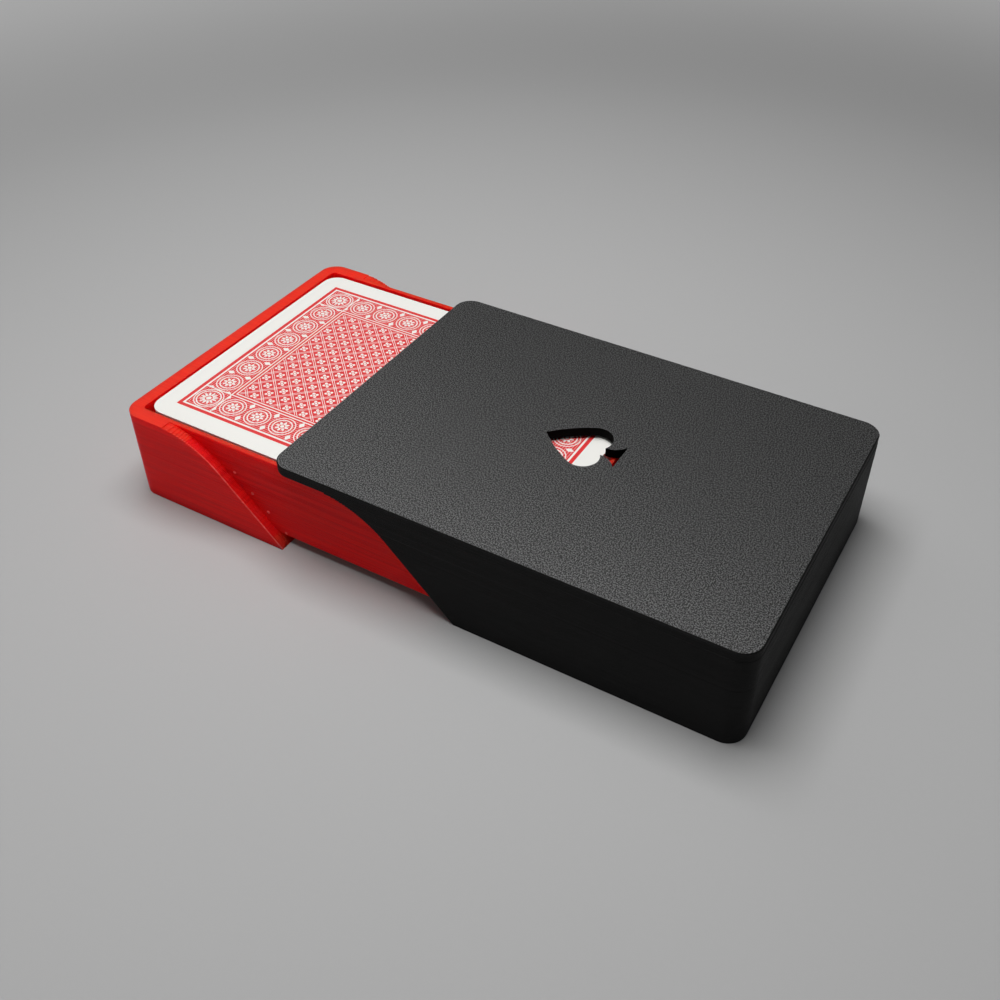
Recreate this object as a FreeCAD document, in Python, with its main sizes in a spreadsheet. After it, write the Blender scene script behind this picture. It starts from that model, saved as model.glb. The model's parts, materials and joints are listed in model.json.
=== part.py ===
"""Playing card box with a drawer: a sleeve, a tray that slides in it and a deck of cards.

Frame: millimetres, +Z up, the table at Z = 0. The origin is the centre of the sleeve's footprint.
The sleeve's closed end faces +X and its mouth faces -X, so the tray slides out along -X.
Each size is a cell of the sheet. The outside of the box is worked out from the deck outwards.
"""
import FreeCAD, Part
import math
import os
import Sketcher

Vector = FreeCAD.Vector
TOLERANCE = 0.001  # two places nearer than this are the same place

# name, millimetres (or degrees, or a count), what it is
SIZES = (
    ("card_length", 88.9, "Poker card, long side"),
    ("card_width", 63.5, "Poker card, short side"),
    ("card_corner", 3.5, "Corner radius of a card"),
    ("card_thickness", 0.295, "Thickness of one card"),
    ("card_air", 0.005, "Air between two cards of the stack"),
    ("card_count", 54, "Cards in the deck: 52 and two jokers"),
    ("deck_side_play", 0.75, "Play between the deck and each long wall of the tray"),
    ("deck_end_play", 1.15, "Play between the centred deck and each end of the tray"),
    ("deck_front_gap", 0.4, "Gap left at the tray's front, where the deck has slid to"),
    ("rim_above_deck", 0.3, "Height of the tray's rim above the top card"),
    ("tray_wall", 1.0, "Side and rear walls of the tray"),
    ("tray_front_wall", 3.0, "Front wall of the tray"),
    ("tray_floor", 2.0, "Floor of the tray"),
    ("tray_inside_corner", 1.0, "Corner radius of the tray's hollow"),
    ("running_gap", 0.25, "Gap all round between tray and sleeve"),
    ("sleeve_wall", 2.0, "Side walls and closed end of the sleeve"),
    ("sleeve_floor", 2.0, "Floor of the sleeve"),
    ("sleeve_roof", 2.0, "Roof of the sleeve"),
    ("roof_lip", 2.0, "How far the roof reaches past the tray's front when shut"),
    ("outer_corner", 4.0, "Radius of the box's upright corners"),
    ("edge_break", 0.3, "Chamfer round the roof's top edge"),
    ("slant_foot", 58.1, "Length of the sleeve's side wall along the table"),
    ("slant_angle", 45.0, "Slope of the line where sleeve and tray part, in degrees"),
    ("shoulder_radius", 22.0, "Radius of the tray's shoulder, at the top of that slope"),
    ("spade_length", 16.1, "Spade window, from its tip to its foot"),
    ("spade_flank_radius", 30.0, "Radius of the spade's two long flanks"),
    ("spade_lobe_radius", 3.4, "Radius of the spade's two lobes"),
    ("spade_lobe_from_tip", 9.4, "Distance of the lobes' centres from the tip"),
    ("spade_lobe_offset", 3.0, "Distance of a lobe's centre from the spade's axis"),
    ("spade_waist", 2.2, "Width between the notches, where stem meets lobes"),
    ("spade_stem_radius", 4.2, "Radius of the stem's two hollow sides"),
    ("spade_foot_width", 6.4, "Width of the stem's foot"),
    ("open_travel", 41.0, "How far the tray is drawn out in the pose modelled"),
    ("cut_overrun", 1.0, "How far a cutting profile runs past the solid"),
)


class Size:
    """A size that carries its value and the sheet formula that gives it."""

    def __init__(self, value, formula):
        self.value = value
        self.formula = formula

    def __add__(self, other):
        other = as_size(other)
        return Size(self.value + other.value, f"({self.formula} + {other.formula})")

    def __sub__(self, other):
        other = as_size(other)
        return Size(self.value - other.value, f"({self.formula} - {other.formula})")

    def __mul__(self, other):
        other = as_size(other)
        return Size(self.value * other.value, f"({self.formula} * {other.formula})")

    def __truediv__(self, other):
        other = as_size(other)
        return Size(self.value / other.value, f"({self.formula} / {other.formula})")

    def __radd__(self, other):
        return as_size(other) + self

    def __rsub__(self, other):
        return as_size(other) - self

    def __rmul__(self, other):
        return as_size(other) * self

    def __neg__(self):
        return Size(-self.value, f"(-1 * {self.formula})")


def as_size(number):
    """A plain number as a Size, and a Size as it is."""
    return number if isinstance(number, Size) else Size(number, repr(number))


def sine(degrees):
    """The sine of an angle given in degrees."""
    return Size(math.sin(math.radians(degrees.value)), f"sin({degrees.formula} * 1 deg)")


def write_sheet(doc):
    """Put every driving size in a spreadsheet and return them as a dictionary of Sizes."""
    sheet = doc.addObject("Spreadsheet::Sheet", "Sizes")
    sizes = {}
    for row, (alias, value, meaning) in enumerate(SIZES, start=1):
        sheet.set(f"A{row}", str(value))
        sheet.setAlias(f"A{row}", alias)
        sheet.set(f"B{row}", meaning)
        sizes[alias] = Size(value, f"Sizes.{alias}")
    doc.recompute()
    return sizes


class Layout:
    """Places that several pieces share, all worked out from the sheet's sizes."""

    def __init__(self, s):
        self.card_pitch = s["card_thickness"] + s["card_air"]
        self.deck_height = s["card_count"] * self.card_pitch

        # heights, from the table up
        self.tray_underside = s["sleeve_floor"] + s["running_gap"]
        self.deck_bottom = self.tray_underside + s["tray_floor"]
        self.rim = self.deck_bottom + self.deck_height + s["rim_above_deck"]
        self.roof_underside = self.rim + s["running_gap"]
        self.roof_top = self.roof_underside + s["sleeve_roof"]

        # half widths, from the deck outwards
        self.hollow_half_width = s["card_width"] / 2 + s["deck_side_play"]
        self.tray_half_width = self.hollow_half_width + s["tray_wall"]
        self.cavity_half_width = self.tray_half_width + s["running_gap"]
        self.half_width = self.cavity_half_width + s["sleeve_wall"]

        # lengths, and places along X with the tray shut
        self.hollow_length = s["card_length"] + 2 * s["deck_end_play"]
        self.tray_length = s["tray_front_wall"] + self.hollow_length + s["tray_wall"]
        self.sleeve_length = s["roof_lip"] + self.tray_length + s["running_gap"] + s["sleeve_wall"]
        self.closed_end = self.sleeve_length / 2
        self.mouth = -self.closed_end
        self.cavity_end = self.closed_end - s["sleeve_wall"]
        self.tray_front = self.mouth + s["roof_lip"]
        self.hollow_front = self.tray_front + s["tray_front_wall"]
        self.hollow_rear = self.hollow_front + self.hollow_length
        self.tray_rear = self.hollow_rear + s["tray_wall"]

        # corner radii that follow the outer corner inwards
        self.cavity_corner = s["outer_corner"] - s["sleeve_wall"]
        self.tray_rear_corner = self.cavity_corner - s["running_gap"]

        # the slope where sleeve and tray part: the tray's side is the sleeve's, set back by the gap
        self.sleeve_foot = self.closed_end - s["slant_foot"]
        self.tray_foot = self.sleeve_foot - s["running_gap"] / sine(s["slant_angle"])


def new_body(doc, label):
    """An empty PartDesign body named for the piece."""
    body = doc.addObject("PartDesign::Body", label)
    body.Label = label
    return body


def new_sketch(body, name, plane_role, height=None):
    """A sketch on one of the body's own origin planes, lifted along Z if a height is given."""
    plane = next(item for item in body.Origin.OriginFeatures if item.Role == plane_role)
    sketch = body.newObject("Sketcher::SketchObject", f"{body.Name}_{name}")
    sketch.AttachmentSupport = [(plane, "")]
    sketch.MapMode = "FlatFace"
    if height is not None:
        sketch.setExpression("AttachmentOffset.Base.z", height.formula)
    return sketch


def bind(sketch, name, constraint, size):
    """Add a dimension to a sketch and tie it to its formula."""
    index = sketch.addConstraint(constraint)
    sketch.renameConstraint(index, name)
    sketch.setExpression(f"Constraints.{name}", size.formula)


def set_radius(sketch, name, arc, size):
    """Give an arc a radius that follows a size."""
    bind(sketch, name, Sketcher.Constraint("Radius", arc, size.value), size)


def place_point(sketch, name, geometry, end, x, y):
    """Fix an end of a piece of geometry at signed distances from the sketch's origin."""
    bind(sketch, f"{name}_x", Sketcher.Constraint("DistanceX", -1, 1, geometry, end, x.value), x)
    bind(sketch, f"{name}_y", Sketcher.Constraint("DistanceY", -1, 1, geometry, end, y.value), y)


def end_near(sketch, geometry, point):
    """Which end of a piece of geometry lies at the point: 1 for its start, 2 for its end."""
    to_start = sketch.getPoint(geometry, 1).distanceToPoint(point)
    to_end = sketch.getPoint(geometry, 2).distanceToPoint(point)
    return 1 if to_start < to_end else 2


def add_arc(sketch, start, middle, finish):
    """An arc through three points. A sketch holds arcs anticlockwise, so a clockwise one is turned."""
    if (middle - start).cross(finish - start).z < 0:
        start, finish = finish, start
    return sketch.addGeometry(Part.Arc(start, middle, finish))


def join(sketch, first, second, point, kind="Coincident"):
    """Join two pieces of geometry where both meet the point, plainly or tangent."""
    first_end = end_near(sketch, first, point)
    second_end = end_near(sketch, second, point)
    sketch.addConstraint(Sketcher.Constraint(kind, first, first_end, second, second_end))


def rounded_rectangle(sketch, left, right, half_width, left_radius=None, right_radius=None):
    """A rectangle about the sketch's X axis. An end with a radius has both its corners rounded."""
    radii = {-1: left_radius, 1: right_radius}
    ends = {-1: left, 1: right}
    corners = [(-1, -1), (1, -1), (1, 1), (-1, 1)]

    def inset(side):
        return radii[side].value if radii[side] is not None else 0.0

    def approach(side, level, along_x):
        x = ends[side].value
        y = level * half_width.value
        if along_x:
            return Vector(x - side * inset(side), y, 0)
        return Vector(x, y - level * inset(side), 0)

    lines = []
    for index, (side, level) in enumerate(corners):
        next_side, next_level = corners[(index + 1) % 4]
        along_x = level == next_level
        start = approach(side, level, along_x)
        finish = approach(next_side, next_level, along_x)
        lines.append(sketch.addGeometry(Part.LineSegment(start, finish)))
        direction = "Horizontal" if along_x else "Vertical"
        sketch.addConstraint(Sketcher.Constraint(direction, lines[-1]))

    for index, (side, level) in enumerate(corners):
        before = lines[index - 1]
        after = lines[index]
        if radii[side] is None:
            join(sketch, before, after, Vector(ends[side].value, level * half_width.value, 0))
            continue
        radius = radii[side]
        start = sketch.getPoint(before, 2)
        finish = sketch.getPoint(after, 1)
        centre = Vector(ends[side].value - side * radius.value, level * (half_width.value - radius.value), 0)
        middle = centre + Vector(side, level, 0).normalize() * radius.value
        arc = add_arc(sketch, start, middle, finish)
        join(sketch, before, arc, start, "Tangent")
        join(sketch, arc, after, finish, "Tangent")
        set_radius(sketch, f"radius_{index}", arc, radius)

    near, right_line, far, left_line = lines
    bind(sketch, "left", Sketcher.Constraint("DistanceX", -1, 1, left_line, 1, left.value), left)
    bind(sketch, "right", Sketcher.Constraint("DistanceX", -1, 1, right_line, 1, right.value), right)
    bind(sketch, "near", Sketcher.Constraint("DistanceY", -1, 1, near, 1, -half_width.value), -half_width)
    bind(sketch, "far", Sketcher.Constraint("DistanceY", -1, 1, far, 1, half_width.value), half_width)


def parting_curve(sketch, s, top, foot, radius, bottom):
    """The level line, shoulder and slope where sleeve and tray part.

    The slope passes through the foot at the table's height and ends at the bottom level. Returns the
    shoulder's and the slope's indexes, and the points where they start and end.
    """
    angle = math.radians(s["slant_angle"].value)
    corner_x = foot.value - top.value / math.tan(angle)
    tangent_length = radius.value * math.tan(angle / 2)
    start = Vector(corner_x - tangent_length, top.value, 0)
    centre = Vector(start.x, top.value - radius.value, 0)
    middle = centre + Vector(math.sin(angle / 2), math.cos(angle / 2), 0) * radius.value
    finish = centre + Vector(math.sin(angle), math.cos(angle), 0) * radius.value
    bottom_end = Vector(foot.value - bottom.value / math.tan(angle), bottom.value, 0)

    shoulder = add_arc(sketch, start, middle, finish)
    slope = sketch.addGeometry(Part.LineSegment(finish, bottom_end))
    foot_point = sketch.addGeometry(Part.Point(Vector(foot.value, 0, 0)))
    join(sketch, shoulder, slope, finish, "Tangent")
    sketch.addConstraint(Sketcher.Constraint("PointOnObject", foot_point, 1, -1))
    sketch.addConstraint(Sketcher.Constraint("PointOnObject", foot_point, 1, slope))
    bind(sketch, "foot", Sketcher.Constraint("DistanceX", -1, 1, foot_point, 1, foot.value), foot)
    set_radius(sketch, "shoulder", shoulder, radius)
    bind(sketch, "slant", Sketcher.Constraint("Angle", slope, -angle), -s["slant_angle"])
    bind(sketch, "bottom", Sketcher.Constraint("DistanceY", -1, 1, slope, 2, bottom.value), bottom)
    return shoulder, slope, start, bottom_end


def add_pad(body, name, sketch, length, symmetric=False):
    """Pad a sketch, up from its plane or to both sides of it."""
    pad = body.newObject("PartDesign::Pad", f"{body.Name}_{name}")
    pad.Profile = sketch
    pad.SideType = "Symmetric" if symmetric else "One side"
    pad.setExpression("Length", length.formula)
    return pad


def add_pocket(doc, body, name, sketch, length, symmetric=False):
    """Cut a sketch down from its plane, or to both sides of it, and check that it cut something."""
    doc.recompute()
    before = body.Shape.Volume
    pocket = body.newObject("PartDesign::Pocket", f"{body.Name}_{name}")
    pocket.Profile = sketch
    pocket.SideType = "Symmetric" if symmetric else "One side"
    pocket.setExpression("Length", length.formula)
    doc.recompute()
    if body.Shape.Volume > before - TOLERANCE:
        raise RuntimeError(f"{pocket.Name} cut nothing")
    return pocket


def edges_where(feature, test):
    """The names of the feature's edges whose every corner passes the test."""
    names = []
    for number, edge in enumerate(feature.Shape.Edges, start=1):
        box = edge.BoundBox
        if test(box):
            names.append(f"Edge{number}")
    return names


def add_edge_feature(doc, body, kind, name, base, test, property_name, size):
    """Round or chamfer the edges of the base feature that pass the test."""
    doc.recompute()
    feature = body.newObject(kind, f"{body.Name}_{name}")
    feature.Base = (base, edges_where(base, test))
    feature.setExpression(property_name, size.formula)
    doc.recompute()
    return feature


def draw_spade(sketch, s):
    """The window's outline: a spade on the X axis, its tip towards the mouth.

    Each half is a long flank, a lobe and a hollow stem side, and the foot closes the two halves.
    """
    tip_x = -s["spade_length"] / 2
    foot_x = s["spade_length"] / 2
    lobe_x = tip_x + s["spade_lobe_from_tip"]
    flank_radius = s["spade_flank_radius"].value
    lobe_radius = s["spade_lobe_radius"].value
    stem_radius = s["spade_stem_radius"].value
    tip = Vector(tip_x.value, 0, 0)
    flanks = []
    feet = []

    for side, label in ((1, "far"), (-1, "near")):
        lobe_y = s["spade_lobe_offset"] * side
        waist_y = s["spade_waist"] / 2 * side
        foot_y = s["spade_foot_width"] / 2 * side
        centre = Vector(lobe_x.value, lobe_y.value, 0)
        foot = Vector(foot_x.value, foot_y.value, 0)

        # the flank's circle holds the lobe's circle inside it and passes through the tip
        reach = centre.distanceToPoint(tip)
        inner = flank_radius - lobe_radius
        cosine_at_tip = (reach ** 2 + flank_radius ** 2 - inner ** 2) / (2 * reach * flank_radius)
        heading = math.atan2(centre.y, centre.x - tip.x) - side * math.acos(cosine_at_tip)
        flank_centre = tip + Vector(math.cos(heading), math.sin(heading), 0) * flank_radius
        tangent = flank_centre + (centre - flank_centre).normalize() * flank_radius
        flank_middle = flank_centre + ((tip + tangent) / 2 - flank_centre).normalize() * flank_radius

        # the lobe ends in the notch, on the foot's side of its centre
        drop = centre.y - waist_y.value
        notch = Vector(centre.x + math.sqrt(lobe_radius ** 2 - drop ** 2), waist_y.value, 0)
        outermost = centre + Vector(1, side, 0).normalize() * lobe_radius

        # the stem's side is hollow: its circle lies outside the window
        half_chord = foot.distanceToPoint(notch) / 2
        outward = Vector(notch.y - foot.y, foot.x - notch.x, 0).normalize() * side
        depth = math.sqrt(stem_radius ** 2 - half_chord ** 2)
        stem_centre = (notch + foot) / 2 + outward * depth
        stem_middle = stem_centre - outward * stem_radius

        flank = add_arc(sketch, tip, flank_middle, tangent)
        lobe = add_arc(sketch, tangent, outermost, notch)
        stem = add_arc(sketch, notch, stem_middle, foot)
        flanks.append(flank)
        feet.append((stem, foot))

        join(sketch, flank, lobe, tangent, "Tangent")
        join(sketch, lobe, stem, notch)
        set_radius(sketch, f"flank_{label}", flank, s["spade_flank_radius"])
        set_radius(sketch, f"lobe_{label}", lobe, s["spade_lobe_radius"])
        set_radius(sketch, f"stem_{label}", stem, s["spade_stem_radius"])
        place_point(sketch, f"centre_{label}", lobe, 3, lobe_x, lobe_y)
        notch_end = end_near(sketch, lobe, notch)
        waist = Sketcher.Constraint("DistanceY", -1, 1, lobe, notch_end, waist_y.value)
        bind(sketch, f"waist_{label}", waist, waist_y)
        place_point(sketch, f"foot_{label}", stem, end_near(sketch, stem, foot), foot_x, foot_y)

    join(sketch, flanks[0], flanks[1], tip)
    place_point(sketch, "tip", flanks[0], end_near(sketch, flanks[0], tip), tip_x, Size(0.0, "0"))
    (far_stem, far_foot), (near_stem, near_foot) = feet
    foot_line = sketch.addGeometry(Part.LineSegment(far_foot, near_foot))
    join(sketch, foot_line, far_stem, far_foot)
    join(sketch, foot_line, near_stem, near_foot)


def make_sleeve(doc, s, at):
    """The outer case: roof, two side walls cut back to the parting curve, closed end and floor."""
    body = new_body(doc, "sleeve")

    outline = new_sketch(body, "outline", "XY_Plane")
    rounded_rectangle(outline, at.mouth, at.closed_end, at.half_width, s["outer_corner"], s["outer_corner"])
    add_pad(body, "block", outline, at.roof_top)

    # everything below the roof and in front of the parting curve goes
    profile = new_sketch(body, "parting_profile", "XZ_Plane")
    below = -s["cut_overrun"]
    radius = s["shoulder_radius"] + s["running_gap"]
    shoulder, slope, start, slope_end = parting_curve(
        profile, s, at.roof_underside, at.sleeve_foot, radius, below)
    left = at.mouth - s["cut_overrun"]
    upper_left = Vector(left.value, at.roof_underside.value, 0)
    lower_left = Vector(left.value, below.value, 0)
    level = profile.addGeometry(Part.LineSegment(upper_left, start))
    base = profile.addGeometry(Part.LineSegment(slope_end, lower_left))
    side = profile.addGeometry(Part.LineSegment(lower_left, upper_left))
    join(profile, level, shoulder, start, "Tangent")
    join(profile, slope, base, slope_end)
    join(profile, base, side, lower_left)
    join(profile, side, level, upper_left)
    profile.addConstraint(Sketcher.Constraint("Horizontal", level))
    profile.addConstraint(Sketcher.Constraint("Horizontal", base))
    profile.addConstraint(Sketcher.Constraint("Vertical", side))
    place_point(profile, "corner", level, 1, left, at.roof_underside)
    across = 2 * (at.half_width + s["cut_overrun"])
    add_pocket(doc, body, "parting", profile, across, symmetric=True)

    cavity = new_sketch(body, "cavity_outline", "XY_Plane", at.roof_underside)
    rounded_rectangle(cavity, left, at.cavity_end, at.cavity_half_width, None, at.cavity_corner)
    add_pocket(doc, body, "cavity", cavity, at.roof_underside - s["sleeve_floor"])

    spade = new_sketch(body, "spade_outline", "XY_Plane", at.roof_top)
    draw_spade(spade, s)
    window = add_pocket(doc, body, "window", spade, s["sleeve_roof"])

    # the roof's top edge runs along the outline; the window's rim stays sharp
    top = at.roof_top.value
    reach = s["spade_length"].value / 2 + s["cut_overrun"].value

    def on_roof_edge(box):
        in_top_face = abs(box.ZMin - top) < TOLERANCE and abs(box.ZMax - top) < TOLERANCE
        round_window = abs(box.Center.x) < reach and abs(box.Center.y) < reach
        return in_top_face and not round_window

    add_edge_feature(doc, body, "PartDesign::Chamfer", "roof_edge", window, on_roof_edge,
                     "Size", s["edge_break"])
    return body


def make_tray(doc, s, at):
    """The drawer: a full-section block in front and a thin-walled body that runs in the sleeve."""
    body = new_body(doc, "tray")

    # the block, drawn from the side: it ends in the parting curve
    profile = new_sketch(body, "block_profile", "XZ_Plane")
    shoulder, slope, start, slope_end = parting_curve(
        profile, s, at.rim, at.tray_foot, s["shoulder_radius"], Size(0.0, "0"))
    upper_left = Vector(at.tray_front.value, at.rim.value, 0)
    lower_left = Vector(at.tray_front.value, 0, 0)
    level = profile.addGeometry(Part.LineSegment(upper_left, start))
    base = profile.addGeometry(Part.LineSegment(slope_end, lower_left))
    front = profile.addGeometry(Part.LineSegment(lower_left, upper_left))
    join(profile, level, shoulder, start, "Tangent")
    join(profile, slope, base, slope_end)
    join(profile, base, front, lower_left)
    join(profile, front, level, upper_left)
    profile.addConstraint(Sketcher.Constraint("Horizontal", level))
    profile.addConstraint(Sketcher.Constraint("Horizontal", base))
    profile.addConstraint(Sketcher.Constraint("Vertical", front))
    place_point(profile, "corner", level, 1, at.tray_front, at.rim)
    block = add_pad(body, "block", profile, 2 * at.half_width, symmetric=True)

    front_x = at.tray_front.value

    def on_front_corner(box):
        upright = box.ZLength > max(box.XLength, box.YLength)
        return upright and box.XMax < front_x + TOLERANCE

    add_edge_feature(doc, body, "PartDesign::Fillet", "front_corners", block, on_front_corner,
                     "Radius", s["outer_corner"])

    slide = new_sketch(body, "slide_outline", "XY_Plane", at.tray_underside)
    inside_block = at.tray_front + s["outer_corner"]
    rounded_rectangle(slide, inside_block, at.tray_rear, at.tray_half_width, None, at.tray_rear_corner)
    add_pad(body, "slide", slide, at.rim - at.tray_underside)

    hollow = new_sketch(body, "hollow_outline", "XY_Plane", at.rim)
    corner = s["tray_inside_corner"]
    rounded_rectangle(hollow, at.hollow_front, at.hollow_rear, at.hollow_half_width, corner, corner)
    add_pocket(doc, body, "hollow", hollow, at.rim - at.deck_bottom)

    body.setExpression("Placement.Base.x", (-s["open_travel"]).formula)
    return body


def make_card(doc, s, at, number):
    """One card of the deck, the lowest being number 1. It lies in the tray and rides with it."""
    body = new_body(doc, f"card_{number:02d}")
    outline = new_sketch(body, "outline", "XY_Plane")
    left = at.hollow_front + s["deck_front_gap"]
    corner = s["card_corner"]
    rounded_rectangle(outline, left, left + s["card_length"], s["card_width"] / 2, corner, corner)
    add_pad(body, "sheet", outline, s["card_thickness"])
    height = at.deck_bottom + (number - 1) * at.card_pitch
    body.setExpression("Placement.Base.x", (-s["open_travel"]).formula)
    body.setExpression("Placement.Base.z", height.formula)
    return body


def check(doc, bodies):
    """Stop if any object of the document failed, or a piece is empty, broken or in several parts."""
    for item in doc.Objects:
        if "Invalid" in item.State or "Error" in item.State:
            raise RuntimeError(f"{item.Name} failed: {item.State}")
    for body in bodies:
        shape = body.Shape
        if shape.isNull() or not shape.isValid() or len(shape.Solids) != 1:
            raise RuntimeError(f"{body.Label} is not one valid solid")


def main():
    doc = FreeCAD.newDocument("card_box")
    s = write_sheet(doc)
    at = Layout(s)
    bodies = [make_sleeve(doc, s, at), make_tray(doc, s, at)]
    for number in range(1, int(s["card_count"].value) + 1):
        bodies.append(make_card(doc, s, at, number))
    doc.recompute()
    check(doc, bodies)

    os.makedirs("parts", exist_ok=True)
    for body in bodies:
        body.Shape.exportStep(f"parts/{body.Label}.step")
    for body in bodies[:3]:
        box = body.Shape.BoundBox
        print(f"{body.Label}: {box.XLength:.2f} x {box.YLength:.2f} x {box.ZLength:.2f} mm, "
              f"{body.Shape.Volume / 1000:.2f} cm3")


main()
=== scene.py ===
# %% [markdown]
# # A playing card box with a drawer
# The box is two prints that slide into each other. A black sleeve has a roof, two cut-back sides
# and a closed end. A red tray carries a deck of cards and is drawn halfway out. The CAD model
# already has every solid at its real size, so this lesson dresses it: it cuts the printed layers
# into both prints, gives each surface its finish, and prints a pattern on the top card.

# %% Load the fixed frame
import json
import math
import random

import bmesh
import bpy
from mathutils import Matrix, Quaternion, Vector

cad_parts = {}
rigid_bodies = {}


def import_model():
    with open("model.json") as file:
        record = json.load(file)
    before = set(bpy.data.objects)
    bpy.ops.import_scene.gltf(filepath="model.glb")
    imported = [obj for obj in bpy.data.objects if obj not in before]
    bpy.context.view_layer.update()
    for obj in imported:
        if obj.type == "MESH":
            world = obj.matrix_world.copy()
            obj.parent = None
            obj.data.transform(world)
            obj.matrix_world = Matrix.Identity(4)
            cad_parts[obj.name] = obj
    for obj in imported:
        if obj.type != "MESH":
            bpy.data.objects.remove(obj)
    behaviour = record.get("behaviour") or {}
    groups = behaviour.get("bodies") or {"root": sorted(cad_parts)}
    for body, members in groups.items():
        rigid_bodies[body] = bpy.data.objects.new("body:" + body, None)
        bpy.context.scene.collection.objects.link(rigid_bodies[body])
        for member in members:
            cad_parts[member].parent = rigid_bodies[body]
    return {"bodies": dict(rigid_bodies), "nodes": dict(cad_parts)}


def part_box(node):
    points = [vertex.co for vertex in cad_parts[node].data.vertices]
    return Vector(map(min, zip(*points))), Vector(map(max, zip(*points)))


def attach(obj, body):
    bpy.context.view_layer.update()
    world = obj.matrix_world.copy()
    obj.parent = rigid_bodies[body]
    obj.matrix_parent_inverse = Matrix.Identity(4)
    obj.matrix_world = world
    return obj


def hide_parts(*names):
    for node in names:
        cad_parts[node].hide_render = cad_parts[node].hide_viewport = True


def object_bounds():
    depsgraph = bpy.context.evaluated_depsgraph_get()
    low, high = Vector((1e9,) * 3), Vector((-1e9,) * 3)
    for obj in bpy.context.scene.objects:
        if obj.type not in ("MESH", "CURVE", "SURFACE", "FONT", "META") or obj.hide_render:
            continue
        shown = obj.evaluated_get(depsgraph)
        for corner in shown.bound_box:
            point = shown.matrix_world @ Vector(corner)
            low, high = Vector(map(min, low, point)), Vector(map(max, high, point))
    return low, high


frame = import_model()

MM = 0.001
for left_over in set(bpy.data.objects) - {*frame["nodes"].values(), *frame["bodies"].values()}:
    bpy.data.objects.remove(left_over)
cad_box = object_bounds()
corners = [tuple(round(c / MM, 2) for c in corner) for corner in cad_box]
print("nodes:", len(frame["nodes"]), "box in mm:", corners)

# %% [markdown]
# ## Camera
# The view is from the right of the near side, looking down at forty degrees. A camera could be
# turned by hand until the view looks right. Here it is built from four things that can be written
# down: the point aimed at, the direction, the distance and the lens. A small lens shift slides the
# view sideways without turning the camera.

# %% Make the camera
AIM = Vector((-17.90, 7.01, 0.0)) * MM
AZIMUTH = math.radians(29.54)
ELEVATION = math.radians(40.11)
ROLL = math.radians(0.51)
DISTANCE = 249.25 * MM
LENS = 40.88
SHIFT = (-0.0211, -0.0154)

camera = bpy.data.objects.new("camera", bpy.data.cameras.new("camera"))
bpy.context.scene.collection.objects.link(camera)
level = Vector((math.sin(AZIMUTH), -math.cos(AZIMUTH), 0.0))
back = level * math.cos(ELEVATION) + Vector((0.0, 0.0, math.sin(ELEVATION)))
camera.location = AIM + back * DISTANCE
camera.rotation_mode = "QUATERNION"
camera.rotation_quaternion = (-back).to_track_quat("-Z", "Y") @ Quaternion((0, 0, 1), ROLL)
camera.data.lens = LENS
camera.data.shift_x, camera.data.shift_y = SHIFT
camera.data.clip_start = 10 * MM
bpy.context.scene.camera = camera
print("camera at", [round(c / MM, 1) for c in camera.location], "mm")

# %% [markdown]
# ## Shader maths
# A finish such as print or paper is a sum of patterns. Wiring each Math node by hand hides that
# sum, so one small class wraps a socket and turns Python's operators into nodes. Every other node
# comes from one method that takes its type, its settings and its inputs.


# %% A socket that can be added and multiplied
class Signal:
    """A value that changes over a surface. Arithmetic on it adds Math nodes."""

    def __init__(self, finish, socket):
        self.finish = finish
        self.socket = socket

    def math(self, operation, *others):
        """Any Math node with this value as its first input."""
        values = dict(enumerate((self, *others)))
        return self.finish.node("ShaderNodeMath", {"operation": operation}, values)

    def __add__(self, other):
        return self.math("ADD", other)

    def __sub__(self, other):
        return self.math("SUBTRACT", other)

    def __rsub__(self, other):
        return self.finish.node("ShaderNodeMath", {"operation": "SUBTRACT"}, {0: other, 1: self})

    def __mul__(self, other):
        return self.math("MULTIPLY", other)

    def __truediv__(self, other):
        return self.math("DIVIDE", other)

    def __abs__(self):
        return self.math("ABSOLUTE")

    def __lt__(self, other):
        return self.math("LESS_THAN", other)

    def __gt__(self, other):
        return self.math("GREATER_THAN", other)

    def ramp(self, start, end):
        """0 below start, 1 above end and a smooth step between."""
        inputs = {"Value": self, "From Min": start, "From Max": end}
        return self.finish.node("ShaderNodeMapRange", {"interpolation_type": "SMOOTHSTEP"}, inputs)


# %% A node tree and a material that are written node by node
class Nodes:
    """The node tree of a material or a world, started empty."""

    def __init__(self, owner):
        owner.use_nodes = True
        self.tree = owner.node_tree
        self.tree.nodes.clear()

    def node(self, kind, settings=None, inputs=None, output=0):
        """Add a node: settings first, then a value or a link for each input. Gives one output."""
        made = self.tree.nodes.new(kind)
        for name, value in (settings or {}).items():
            setattr(made, name, value)
        for key, value in (inputs or {}).items():
            if isinstance(value, Signal):
                self.tree.links.new(value.socket, made.inputs[key])
            else:
                made.inputs[key].default_value = value
        return Signal(self, made.outputs[output]) if made.outputs else None

    def seen(self):
        """1 where the camera or a reflection looks, 0 where a surface only gathers light."""
        camera_ray = self.node("ShaderNodeLightPath", output="Is Camera Ray")
        glossy_ray = self.node("ShaderNodeLightPath", output="Is Glossy Ray")
        clear_ray = self.node("ShaderNodeLightPath", output="Is Transmission Ray")
        return camera_ray.math("MAXIMUM", glossy_ray).math("MAXIMUM", clear_ray)


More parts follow.
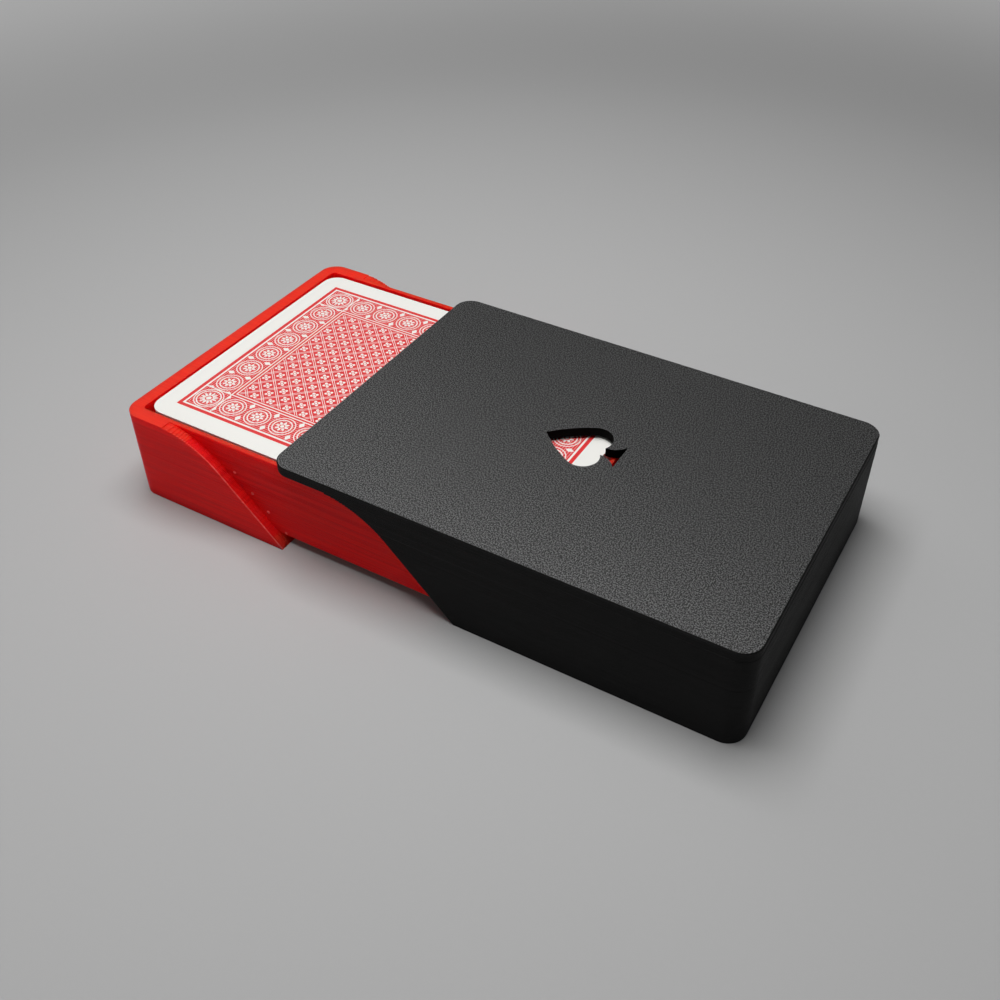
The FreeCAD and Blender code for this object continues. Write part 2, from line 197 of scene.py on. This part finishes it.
class Finish(Nodes):
    """One material of the scene."""

    def __init__(self, name):
        self.material = bpy.data.materials.new(name)
        super().__init__(self.material)

    def place(self):
        """Where a point of the surface is on the object, in millimetres: x, y and z."""
        where = self.node("ShaderNodeTexCoord", output=3)
        return [self.node("ShaderNodeSeparateXYZ", {}, {0: where}, i) * (1 / MM) for i in range(3)]

    def vector(self, x, y, z):
        """Three values as one vector."""
        return self.node("ShaderNodeCombineXYZ", {}, {0: x, 1: y, 2: z})

    def noise(self, x, y, z, detail=2.0):
        """A cloudy value between 0 and 1 whose blotches are about one unit of x, y and z wide."""
        inputs = {"Vector": self.vector(x, y, z), "Scale": 1.0, "Detail": detail}
        return self.node("ShaderNodeTexNoise", {"noise_dimensions": "3D"}, inputs)

    def blend(self, share, first, second):
        """The first colour where share is 0, the second where it is 1."""
        return self.node("ShaderNodeMix", {"data_type": "RGBA"}, {0: share, 6: first, 7: second}, 2)

    def bump(self, height, distance):
        """A surface direction from a height of 0 to 1 that stands for this distance."""
        inputs = {"Height": height, "Distance": distance, "Strength": 1.0}
        return self.node("ShaderNodeBump", {}, inputs)

    def close(self, **inputs):
        """Finish the material with a Principled shader. Underscores stand for spaces."""
        named = {name.replace("_", " "): value for name, value in inputs.items()}
        surface = self.node("ShaderNodeBsdfPrincipled", {}, named)
        self.node("ShaderNodeOutputMaterial", {}, {"Surface": surface})
        return self.material


print("shader maths ready")

# %% [markdown]
# ## Table and light
# The box lies on plain grey paper in a dark room. A large soft lamp hangs right over it, a weaker
# one hangs behind its drawer end, and a low one in front lifts the near sides, which otherwise get
# only what the paper throws back. Together they render a colour about as written.
# Beyond the lamps' reach the paper and the room are given one even grey, seen but shining on
# nothing, so that the box stands before a quiet backdrop from every side. Solids are measured in
# metres, and the patterns on them in millimetres, as `place` gives them.

# %% Lay the table
TABLE_GREY = (0.47, 0.47, 0.47, 1.0)
TABLE_SIZE = 6.0
HAZE_GREY = (0.26, 0.26, 0.26, 1.0)
HAZE_STARTS = 245
HAZE_ENDS = 480


def table_paper():
    """Matt grey paper with the faintest mottling. Far from the lamps it turns into an even grey."""
    finish = Finish("table_paper")
    x, y, z = finish.place()
    cloud = finish.noise(x * 0.8, y * 0.8, z)
    darker = tuple(c * 0.985 for c in TABLE_GREY[:3]) + (1.0,)
    colour = finish.blend(cloud, TABLE_GREY, darker)
    away = (x * x + y * y).math("SQRT")
    haze = finish.blend(finish.seen() * away.ramp(HAZE_STARTS, HAZE_ENDS), (0, 0, 0, 1), HAZE_GREY)
    return finish.close(Base_Color=colour, Roughness=0.9, Specular_IOR_Level=0.1,
                        Emission_Color=haze, Emission_Strength=1.0)


def new_piece(name, bm):
    """A finished bmesh as an object at the origin."""
    mesh = bpy.data.meshes.new(name)
    bm.to_mesh(mesh)
    bm.free()
    piece = bpy.data.objects.new(name, mesh)
    bpy.context.scene.collection.objects.link(piece)
    return piece


bm = bmesh.new()
bmesh.ops.create_grid(bm, x_segments=1, y_segments=1, size=TABLE_SIZE / 2)
table = new_piece("table", bm)
table.data.materials.append(table_paper())

# %% Hang the lamps
ROOM_LIGHT = 0.03


def soft_lamp(name, x, y, z, size, watts):
    """A square soft lamp, placed in millimetres and turned to the middle of the box."""
    lamp = bpy.data.objects.new(name, bpy.data.lights.new(name, "AREA"))
    lamp.data.shape = "SQUARE"
    lamp.data.size = size * MM
    lamp.data.energy = watts
    lamp.location = Vector((x, y, z)) * MM
    lamp.rotation_mode = "QUATERNION"
    lamp.rotation_quaternion = (-lamp.location).to_track_quat("-Z", "Y")
    bpy.context.scene.collection.objects.link(lamp)
    print(name, "at", (x, y, z), "mm")


soft_lamp("lamp_overhead", -45, 0, 370, size=245, watts=1.32)
soft_lamp("lamp_behind", -320, 130, 350, size=300, watts=0.22)
soft_lamp("lamp_front", -90, -450, 150, size=350, watts=0.20)

# %% Light the room
SKY_STARTS = 0.5

world = bpy.data.worlds.new("room")
room = Nodes(world)
upward = room.node("ShaderNodeSeparateXYZ", {}, {0: room.node("ShaderNodeTexCoord")}, 2)
backdrop = (1.0 - upward.ramp(0.0, SKY_STARTS)) * room.seen() * (HAZE_GREY[0] - ROOM_LIGHT) + ROOM_LIGHT
shine = room.node("ShaderNodeBackground", {}, {"Color": (1, 1, 1, 1), "Strength": backdrop})
room.node("ShaderNodeOutputWorld", {}, {"Surface": shine})
bpy.context.scene.world = world
bpy.context.scene.view_settings.view_transform = "Standard"
print("room light:", ROOM_LIGHT, "backdrop:", HAZE_GREY[0])

# %% [markdown]
# ## Printed layers
# Both prints are stacks of beads 0.2 mm high. On an upright wall that shows as fine level lines,
# and on the slanted line where the two prints part it shows as a flight of tiny stairs. A bump map
# can fake the lines but not the stairs, so the layers are cut into the solid itself. The CAD solid
# is sliced at each bead's crease and at its two rounded edges, and the slices are then drawn in.

# %% Sizes of a bead
LAYER = 0.2 * MM
BEAD_ROUND = 0.05 * MM
CREASE = 0.025 * MM
DRIFT = 0.02 * MM
WELD = 0.001 * MM
TOUCH = 0.0001 * MM
FLAT_ANGLE = math.radians(0.2)
SHARP_ANGLE = math.radians(40)
SLANT = math.radians(45)
SHOULDER_RADIUS = 22.0 * MM
RUNNING_GAP = 0.25 * MM
ROOF_SHRINK = 0.08 * MM


# %% Take a CAD solid and slice it
def solid_of(node):
    """A CAD node's loose triangles joined into a solid, with each flat face whole again."""
    bm = bmesh.new()
    bm.from_mesh(frame["nodes"][node].data)
    bmesh.ops.remove_doubles(bm, verts=bm.verts, dist=WELD)
    bmesh.ops.dissolve_limit(bm, angle_limit=FLAT_ANGLE, verts=bm.verts, edges=bm.edges)
    return bm


def slice_level(bm, faces, level):
    """Cut these faces at one height and return those that reach above it."""
    edges = {edge for face in faces for edge in face.edges}
    verts = {vert for face in faces for vert in face.verts}
    cut = bmesh.ops.bisect_plane(
        bm, geom=[*verts, *edges, *faces], dist=TOUCH, plane_co=(0, 0, level), plane_no=(0, 0, 1))
    parts = [item for item in cut["geom"] if isinstance(item, bmesh.types.BMFace)]
    return [face for face in parts if max(vert.co.z for vert in face.verts) > level + 2 * TOUCH]


def slice_layers(bm):
    """Slice a solid at each bead's crease and rounded edges. Its top bead is always a whole one."""
    heights = [vert.co.z for vert in bm.verts]
    bottom, top = min(heights), max(heights)
    count = math.ceil((top - bottom) / LAYER - 1e-6)
    creases = [top - (count - i) * LAYER for i in range(count + 1)]
    levels = sorted(z + offset for z in creases for offset in (-BEAD_ROUND, 0.0, BEAD_ROUND))
    faces = list(bm.faces)
    for level in levels:
        if bottom + TOUCH < level < top - TOUCH:
            faces = slice_level(bm, faces, level)
    return creases


# %% The curve where sleeve and tray part
def parting_x(z, foot, top, radius):
    """Where the slanted line stands at a height: up from its foot at 45 degrees, over a shoulder."""
    turn = top - radius * (1 - math.cos(SLANT))
    if z < turn:
        return foot - z
    centre_x = foot - top - radius * math.tan(SLANT / 2)
    return centre_x + math.sqrt(max(0.0, radius**2 - (z - top + radius) ** 2))


# %% Draw the slices in
def wall_offset(vert, parting):
    """The direction, level with the table, that draws each wall at this point in by one unit."""
    walls = [f.normal for f in vert.link_faces if abs(f.normal.z) < 0.5 and f not in parting]
    if not walls:
        return Vector((0, 0, 0))
    first = walls[0]
    second = min(walls, key=first.dot)
    both = first + second
    return -both / max(0.3, 1 + first.dot(second))


def is_slanted(face, top):
    """Whether a face belongs to the slanted line, which ends at this height."""
    leans = 0.02 < abs(face.normal.z) < 0.9999 and abs(face.normal.y) < 0.01
    return leans and face.calc_center_median().z < top


def print_layers(node, name, body, top, radius, seed, shrink_above=math.inf):
    """The node's solid as a print: creased, slightly uneven beads, and stairs along the parting line.

    Layers above shrink_above are solid right across and have drawn in a little more as they cooled.
    """
    bm = solid_of(node)
    slanted = [face for face in bm.faces if is_slanted(face, top)]
    side = -math.copysign(1.0, slanted[0].normal.x)
    foot = max(vert.co.x for face in slanted for vert in face.verts)
    for face in slanted:
        face.material_index = 1
    creases = slice_layers(bm)
    bm.normal_update()
    chance = random.Random(seed)
    inset = [chance.uniform(0.0, DRIFT) + ROOF_SHRINK * (z > shrink_above - TOUCH) for z in creases]
    parting = {face for face in bm.faces if face.material_index == 1}
    moves = []
    for vert in bm.verts:
        z = vert.co.z
        step = (z - creases[0]) / LAYER
        nearest = round(step)
        on_crease = abs(z - creases[nearest]) < 2 * TOUCH
        layers = [nearest - 1, nearest] if on_crease else [math.floor(step)]
        layers = [i for i in layers if 0 <= i < len(creases) - 1]
        depth = max(inset[i] for i in layers) + (CREASE if on_crease else 0.0)
        place = vert.co + wall_offset(vert, parting) * depth
        if any(face in parting for face in vert.link_faces):
            stairs = [parting_x(creases[i] + LAYER / 2, foot, top, radius) for i in layers]
            place.x = side * max(side * x for x in stairs) + (side * CREASE if on_crease else 0.0)
        moves.append((vert, place))
    for vert, place in moves:
        vert.co = place
    bm.normal_update()
    piece = new_piece(name, bm)
    piece.data.attributes.remove(piece.data.attributes["custom_normal"])
    piece.data.shade_smooth()
    piece.data.set_sharp_from_angle(angle=SHARP_ANGLE)
    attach(piece, body)
    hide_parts(node)
    print(name, "layers:", len(creases) - 1, "faces:", len(piece.data.polygons))
    return piece


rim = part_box("tray")[1].z
ceiling = rim + RUNNING_GAP
sleeve = print_layers("sleeve", "sleeve_print", "case", ceiling, SHOULDER_RADIUS + RUNNING_GAP,
                      seed=3, shrink_above=ceiling)
tray = print_layers("tray", "tray_print", "drawer", rim, SHOULDER_RADIUS, seed=5)

# %% [markdown]
# ## Print finishes
# A print has three kinds of surface. Its walls are beads seen from the side: each bead is laid with
# slightly more or less plastic than the last, so the wall is streaked along its length. Its level
# faces show the nozzle's path as fine parallel lines, and on the red print they are painted a more
# orange red than its walls, a painted highlight. The face that lay on the printer's textured plate
# has copied the plate's pebbled grain, whose tops are painted lighter and hollows darker as painted
# highlight and shade. Each kind is a short function of the plastic's colour.

# %% Walls: streaked along the beads
def streaks(finish, x, y, z):
    """Unevenness from bead to bead, drawn out along the walls."""
    coarse = finish.noise(x * 0.03, y * 0.03, z * 0.9)
    fine = finish.noise(x * 0.05 + 31, y * 0.05, z * 2.6)
    return coarse * 0.4 + fine * 0.6


GLOW_REACH = 3.2 * MM
GLOW_COLOURS = (1.0, 0.22, 0.10)
WALL_RELIEF = 0.05 * MM


def plastic(finish, depth, **inputs):
    """Close the finish of a plastic in which this share of the light sinks in and glows back."""
    return finish.close(Subsurface_Weight=depth, Subsurface_Scale=GLOW_REACH,
                        Subsurface_Radius=GLOW_COLOURS, **inputs)


def printed_wall(name, light, dark, roughness, specular, depth=0.0):
    """A wall of beads in one plastic."""
    finish = Finish(name)
    x, y, z = finish.place()
    streak = streaks(finish, x, y, z)
    speck = finish.noise(x * 2.5, y * 2.5, z * 5.0)
    colour = finish.blend(streak.ramp(0.38, 0.62), dark, light)
    gloss = streak * 0.3 + (roughness - 0.15)
    height = streak * 0.6 + speck * 0.4
    return plastic(finish, depth, Base_Color=colour, Roughness=gloss, Specular_IOR_Level=specular,
                   Normal=finish.bump(height, WALL_RELIEF))


# %% Level faces: the nozzle's parallel lines
NOZZLE_LINE = 0.42
TOP_RELIEF = 0.02 * MM


def printed_top(name, light, dark, roughness, specular, depth=0.0):
    """The last layer of a print: lines side by side that follow the walls' direction."""
    finish = Finish(name)
    x, y, z = finish.place()
    groove = abs((abs(y) * (math.pi / NOZZLE_LINE)).math("SINE"))
    wander = finish.noise(x * 0.15, y * 3.0, z)
    colour = finish.blend(wander.ramp(0.3, 0.7), dark, light)
    gloss = wander * 0.15 + (roughness - 0.07)
    height = groove * 0.6 + wander * 0.4
    return plastic(finish, depth, Base_Color=colour, Roughness=gloss, Specular_IOR_Level=specular,
                   Normal=finish.bump(height, TOP_RELIEF))


# %% The plate face: a pebbled grain
GRAIN = 3.9
GLEAM_EVERYWHERE = 0.12
GLEAM_ON_TOPS = 0.75
GLEAM_IOR = 2.2
GLEAM_ROUGHNESS = 0.42


def plate_face(name, light, dark, roughness, specular, relief, depth=0.0, gleam=0.0):
    """The face that lay on the printer's plate: fine pebbles whose tops gleam a little more."""
    finish = Finish(name)
    x, y = finish.place()[:2]
    pebble = finish.noise(x * GRAIN, y * GRAIN, 0.0, detail=1.0)
    raised = pebble.ramp(0.45, 0.59)
    # Raised tops are painted lighter and hollows darker: painted highlight and shade on the grain.
    colour = finish.blend(raised, dark, light)
    gloss = pebble * 0.2 + (roughness - 0.1)
    coat = (raised * GLEAM_ON_TOPS + GLEAM_EVERYWHERE) * gleam
    return plastic(finish, depth, Base_Color=colour, Roughness=gloss, Specular_IOR_Level=specular,
                   Coat_Weight=coat, Coat_Roughness=GLEAM_ROUGHNESS, Coat_IOR=GLEAM_IOR,
                   Normal=finish.bump(pebble, relief))


# %% The two plastics
BLACK = (0.0070, 0.0070, 0.0070, 1.0)
BLACK_DEEP = (0.0035, 0.0035, 0.0035, 1.0)
# A darker black for the window's walls: painted shade inside the window. Its rougher, less shiny finish
# is real.
SHADED_MATT_BLACK = (0.0020, 0.0020, 0.0020, 1.0)
# The plate face's grey is its own finish, but its pebble tops are painted lighter and its hollows
# darker: painted highlight and shade.
BLACK_GRAIN_LIT = (0.050, 0.050, 0.050, 1.0)
BLACK_GRAIN_SHADED = (0.001, 0.001, 0.001, 1.0)
RED = (0.97, 0.011, 0.012, 1.0)
RED_DEEP = (0.84, 0.002, 0.006, 1.0)
# The next two colours are a more orange copy of the red for level faces: a painted highlight where
# light falls on them.
RED_LIT_TOP = (0.90, 0.034, 0.013, 1.0)
RED_LIT_TOP_DEEP = (0.84, 0.022, 0.010, 1.0)
# A paler, pinker red for the swellings and blobs: a painted highlight.
RED_SWELL_HIGHLIGHT = (0.90, 0.110, 0.110, 1.0)
RED_DEPTH = 1.0

black_wall = printed_wall("black_wall", BLACK, BLACK_DEEP, roughness=0.58, specular=0.13)
black_top = printed_top("black_top", BLACK, BLACK_DEEP, roughness=0.5, specular=0.13)
# The window walls' finish: matt, and painted darker as shade.
shaded_matt_black = printed_wall("shaded_matt_black", SHADED_MATT_BLACK, SHADED_MATT_BLACK, roughness=0.7, specular=0.04)
black_plate = plate_face("black_plate", BLACK_GRAIN_LIT, BLACK_GRAIN_SHADED,
                         roughness=0.5, specular=0.2, relief=0.16 * MM, gleam=1.0)
red_wall = printed_wall("red_wall", RED, RED_DEEP, roughness=0.45, specular=0.12, depth=RED_DEPTH)
# The red's level faces take the orange copy: a painted highlight over the nozzle lines.
red_painted_lit_top = printed_top("red_painted_lit_top", RED_LIT_TOP, RED_LIT_TOP_DEEP, roughness=0.42, specular=0.15, depth=RED_DEPTH)
# The swellings' and blobs' finish: glossier, and painted paler and pinker as a highlight.
red_swell_highlight = printed_wall("red_swell_highlight", RED_SWELL_HIGHLIGHT, RED_LIT_TOP, roughness=0.32, specular=0.5)
red_plate = plate_face("red_plate", RED, RED_DEEP,
                       roughness=0.5, specular=0.4, relief=0.06 * MM, depth=RED_DEPTH)
print("nodes in the red wall's finish:", len(red_wall.node_tree.nodes))

# %% Give each face its finish
LEVEL = 0.9
THIN_WALL = 33.48 * MM
SHALLOW_STAIRS = 1.5 * MM
WINDOW_MARGIN = 15 * MM


def dress(piece, wall, top, plate, plate_height, plate_side):
    """Walls, level faces and the plate face, told apart by the way they face and their height.

    The stairs look like the walls, except near their top, where the treads are wide. There they
    take the level faces' finish, which on the red print is a painted highlight.
    """
    for finish in (wall, top, plate):
        piece.data.materials.append(finish)
    steep_below = max(face.center.z for face in piece.data.polygons) - SHALLOW_STAIRS
    for face in piece.data.polygons:
        on_stairs = abs(face.center.y) > THIN_WALL and face.center.z < steep_below
        level = abs(face.normal.z) > LEVEL and not on_stairs
        on_plate = face.normal.z * plate_side > LEVEL and abs(face.center.z - plate_height) < LAYER
        face.material_index = 2 if on_plate else int(level)


def dress_window(piece, wall, ceiling):
    """The window's walls stand in the roof, away from its outer edge. They are rougher than the rest
    and painted darker, as painted shade inside the window.
    """
    low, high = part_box("sleeve")
    piece.data.materials.append(wall)
    for face in piece.data.polygons:
        from_edge = min(face.center.x - low.x, high.x - face.center.x, high.y - abs(face.center.y))
        if abs(face.normal.z) < LEVEL and face.center.z > ceiling and from_edge > WINDOW_MARGIN:
            face.material_index = len(piece.data.materials) - 1


dress(sleeve, black_wall, black_top, black_plate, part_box("sleeve")[1].z, 1)
dress_window(sleeve, shaded_matt_black, ceiling)
# On the drawer, level faces and wide treads get the orange copy of the red: painted highlight.
dress(tray, red_wall, red_painted_lit_top, red_plate, 0.0, -1)

# %% [markdown]
# ## Where a bead turns
# The printer slows down where the outer bead turns a corner, and a little more plastic comes out
# there. Along the drawer's slanted edge each layer ends in such a swelling, and together they catch
# the light as one thin line. Here and there a trace has also oozed out on to the thin wall. Swellings
# and blobs are painted a paler, pinker red than the drawer, a painted highlight along the line.

# %% Swellings along the slanted edge, and blobs beside it
SWELL = (0.22 * MM, 0.16 * MM, 0.12 * MM)
SWELL_SUNK = 0.06 * MM
TRAY_BLOCK = 38.995 * MM
BLOB_LEVELS = (14.1 * MM, 10.2 * MM, 6.7 * MM, 2.7 * MM)
BLOB = (0.38 * MM, 0.20 * MM, 0.34 * MM)
BLOB_AHEAD = 2.3 * MM


def drop(bm, place, size):
    """One small ellipsoid of plastic."""
    made = bmesh.ops.create_icosphere(bm, subdivisions=2, radius=1.0)
    bmesh.ops.scale(bm, vec=size, verts=made["verts"])
    bmesh.ops.translate(bm, vec=place, verts=made["verts"])


def drops_piece(name, bm):
    """Drops of the drawer's plastic as one piece that rides on the drawer."""
    piece = new_piece(name, bm)
    piece.data.shade_smooth()
    # The drops take the paler, pinker red: a painted highlight.
    piece.data.materials.append(red_swell_highlight)
    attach(piece, "drawer")
    print(name, "faces:", len(piece.data.polygons))


low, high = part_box("tray")
tray_foot = low.x + TRAY_BLOCK
bm = bmesh.new()
for i in range(int(rim / LAYER)):
    z = max((i + 0.5) * LAYER, SWELL[2])
    x = parting_x(z, tray_foot, rim, SHOULDER_RADIUS) - SWELL_SUNK
    for y in (low.y + SWELL[1] + DRIFT, high.y - SWELL[1] - DRIFT):
        drop(bm, (x, y, z), SWELL)
drops_piece("edge_swellings", bm)

bm = bmesh.new()
for level in BLOB_LEVELS:
    drop(bm, (tray_foot - level + BLOB_AHEAD, -THIN_WALL, level), BLOB)
drops_piece("ooze_blobs", bm)

# %% [markdown]
# ## The cards
# The deck is fifty-four cards of coated white stock, and only the back of the top one is seen. Its
# print is worked out as ink: one mask that is 1 where the press laid red. The back is the same both
# ways up, so the pattern is drawn for one quarter, from the distance to the card's centre lines.

# %% Card stock
STOCK = (0.85, 0.84, 0.80, 1.0)
STOCK_SHADE = (0.80, 0.79, 0.75, 1.0)
INK = (0.72, 0.024, 0.026, 1.0)
DIMPLE_PITCH = 0.45


def dimples(x, y):
    """The pressed dimples of coated card, in a close diagonal mesh."""
    turn = math.pi / DIMPLE_PITCH
    return abs(((x + y) * turn).math("SINE")) * abs(((x - y) * turn).math("SINE"))


def card_stock():
    """Plain coated stock with a faint random mottle."""
    finish = Finish("card_stock")
    x, y, z = finish.place()
    fibre = finish.noise(x * 1.5, y * 1.5, z * 6.0)
    colour = finish.blend(fibre, STOCK, STOCK_SHADE)
    height = dimples(x, y) * 0.5 + fibre * 0.5
    return finish.close(Base_Color=colour, Roughness=0.42, Specular_IOR_Level=0.4,
                        Normal=finish.bump(height, 0.006 * MM))


# %% Sizes of the printed back, in millimetres
END_MARGIN = 4.1
SIDE_MARGIN = 4.35
FRAME_LINE = 0.85
FRAME_GAP = 0.45
BORDER = 8.0
SECOND_RULE = BORDER + 0.75
FIELD_EDGE = BORDER + 1.1
RULE = 0.28
THIN_RULE = RULE * 0.8
ENGRAVED_PITCH = 0.56
ENGRAVED_SHARE = 0.10
LATTICE_SPLIT = 0.2
LATTICE_LINE = 0.13
RINGS_PER_END = 6


# %% Motifs: each is a mask that is 1 on its lines
def larger(first, second):
    """The larger of two values: the union of two masks."""
    return first.math("MAXIMUM", second)


def band(value, centre, width):
    """1 where a value is within half a width of a centre."""
    return abs(value - centre) < width / 2


def length(u, v):
    """How far a point is from the origin."""
    return (u * u + v * v).math("SQRT")


def rosette(u, v, petals, reach):
    """Petals that fade to a point, round an open heart."""
    radius = length(u, v)
    turn = v.math("ARCTAN2", u)
    petal = radius < abs((turn * (petals / 2)).math("COSINE")) * (reach * 0.6) + reach * 0.4
    vein = band(radius, reach * 0.36, reach * 0.16)
    return petal - vein


def ring_chain(along, away, repeat):
    """A chain of ringed flowers down the middle of the border, with a spearhead between two rings."""
    between = along.math("PINGPONG", repeat / 2)
    from_flower = repeat / 2 - between
    radius = length(from_flower, away)
    white = larger(rosette(from_flower, away, petals=8, reach=1.5), band(radius, 2.05, RULE))
    white = larger(white, band(radius, 2.75, THIN_RULE))
    spear = (between * 1.5 + abs(abs(away) - 2.3)) < 0.95
    return larger(white, spear)


def corner_panel(u, v):
    """A larger flower in two rings."""
    radius = length(u, v)
    white = larger(rosette(u, v, petals=12, reach=2.0), band(radius, 2.55, RULE))
    return larger(white, band(radius, 3.1, THIN_RULE))


def lattice(x, y, cell):
    """Double diagonal lines with a small flower in each diamond."""
    rise = (x + y) * math.sqrt(0.5)
    fall = (x - y) * math.sqrt(0.5)
    rise_line = rise.math("PINGPONG", cell / 2)
    fall_line = fall.math("PINGPONG", cell / 2)
    lines = larger(band(rise_line, LATTICE_SPLIT, LATTICE_LINE),
                   band(fall_line, LATTICE_SPLIT, LATTICE_LINE))
    flower = rosette(cell / 2 - rise_line, cell / 2 - fall_line, petals=4, reach=0.95)
    return larger(lines, flower)


# %% The printed back: frame, border, corner panels and lattice
def card_back():
    """The top card: white stock with the generic back printed in red."""
    low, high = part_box("card_54")
    middle = (low + high) / 2 / MM
    half = (high - low) / 2 / MM
    repeat = 2 * (half.y - SIDE_MARGIN - BORDER) / RINGS_PER_END
    finish = Finish("card_back")
    x, y, z = finish.place()
    x = x - middle.x
    y = y - middle.y
    from_end = (half.x - END_MARGIN) - abs(x)
    from_side = (half.y - SIDE_MARGIN) - abs(y)
    inside = from_end.math("MINIMUM", from_side)
    beyond = from_end.math("MAXIMUM", from_side)
    in_border = inside < BORDER
    by_end = from_end < from_side
    along = abs(x) + (abs(y) - abs(x)) * by_end

    border_middle = (FRAME_LINE + FRAME_GAP + BORDER) / 2
    chain = ring_chain(along, inside - border_middle, repeat)
    panel = corner_panel(from_end - border_middle, from_side - border_middle)
    motifs = chain + (panel - chain) * (beyond < BORDER)
    engraved = (inside / ENGRAVED_PITCH).math("FRACT") < ENGRAVED_SHARE
    border = larger(motifs, larger(band(beyond, BORDER, RULE), engraved)) * in_border
    rules = larger(band(inside, BORDER, RULE), band(inside, SECOND_RULE, RULE))
    field = lattice(x, y, repeat * math.sqrt(2) / 3) * (inside > FIELD_EDGE)
    white = larger(border, larger(rules, field))
    frame_line = band(inside, FRAME_LINE / 2, FRAME_LINE)
    ground = inside > FRAME_LINE + FRAME_GAP
    ink = larger(frame_line, ground * (1.0 - white))

    up = finish.node("ShaderNodeNewGeometry", output=1)
    facing = finish.node("ShaderNodeSeparateXYZ", {}, {0: up}, 2) > 0.5
    cover = finish.noise(x * 3.0, y * 3.0, z).ramp(0.1, 0.5) * 0.06 + 0.94
    colour = finish.blend(ink * facing * cover, STOCK, INK)
    height = dimples(x, y)
    return finish.close(Base_Color=colour, Roughness=0.4, Specular_IOR_Level=0.4,
                        Normal=finish.bump(height, 0.004 * MM))


# %% Deal the finishes out
stock = card_stock()
for name, node in frame["nodes"].items():
    if name.startswith("card_"):
        node.material_slots[0].material = stock
frame["nodes"]["card_54"].material_slots[0].material = card_back()
print("cards dressed:", sum(name.startswith("card_") for name in frame["nodes"]))
